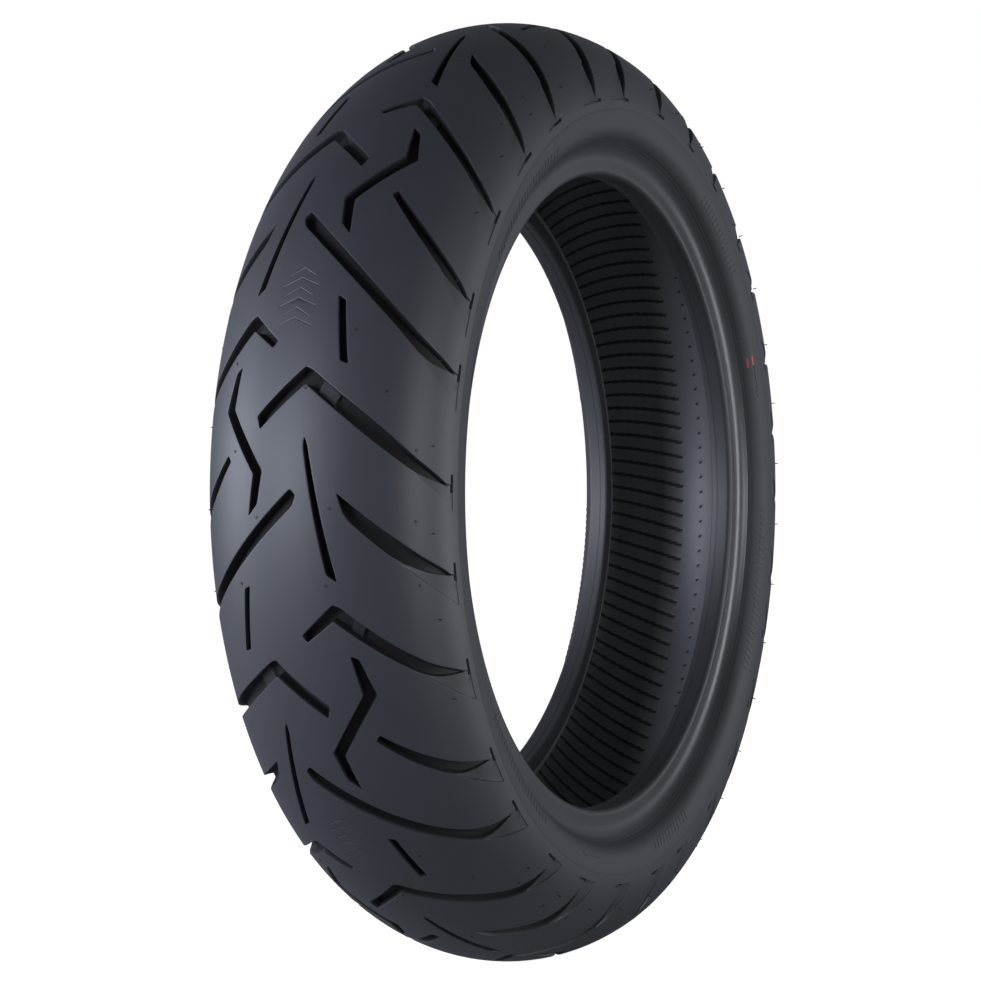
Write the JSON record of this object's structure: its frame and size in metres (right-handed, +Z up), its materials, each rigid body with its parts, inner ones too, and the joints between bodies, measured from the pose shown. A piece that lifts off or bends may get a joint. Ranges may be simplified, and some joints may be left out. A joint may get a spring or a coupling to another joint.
{
  "type": "motorcycle tyre",
  "caption": "Hollow radial tyre with a rounded, directionally grooved tread and two inward beads that press onto a motorcycle wheel rim",
  "frame": {"origin": "centre of the tyre, on the axle line midway between the beads", "axes": "+Y along the axle to the left side, +Z up, +X toward the front of the wheel"},
  "size_m": [0.644, 0.1586, 0.644],
  "materials": {
    "tread_centre": "satin",
    "tread_shoulder": "satin",
    "tread_base": "matte",
    "belt_cover": "matte",
    "belt_cord": "brass plated wire",
    "belt_edge_strip": "matte",
    "carcass_ply": "rubbered rayon cord",
    "inner_liner": "satin",
    "sidewall": "satin",
    "bead_filler": "matte",
    "bead_wire": "bronze plated wire",
    "bead_wrap": "rubbered tape",
    "rim_strip": "satin"
  },
  "bodies": {
    "root": {"tread_centre": "tread_centre", "tread_shoulder_left": "tread_shoulder", "tread_shoulder_right": "tread_shoulder", "tread_base": "tread_base", "belt_cover_outer": "belt_cover", "belt_cord": "belt_cord", "belt_cover_inner": "belt_cover", "belt_edge_strip_left": "belt_edge_strip", "belt_edge_strip_right": "belt_edge_strip", "carcass_ply_outer": "carcass_ply", "carcass_ply_inner": "carcass_ply", "inner_liner": "inner_liner", "sidewall_left": "sidewall", "sidewall_right": "sidewall", "bead_filler_left": "bead_filler", "bead_filler_right": "bead_filler", "bead_wire_left": "bead_wire", "bead_wire_right": "bead_wire", "bead_wrap_left": "bead_wrap", "bead_wrap_right": "bead_wrap", "rim_strip_left": "rim_strip", "rim_strip_right": "rim_strip"}
  },
  "joints": []
}
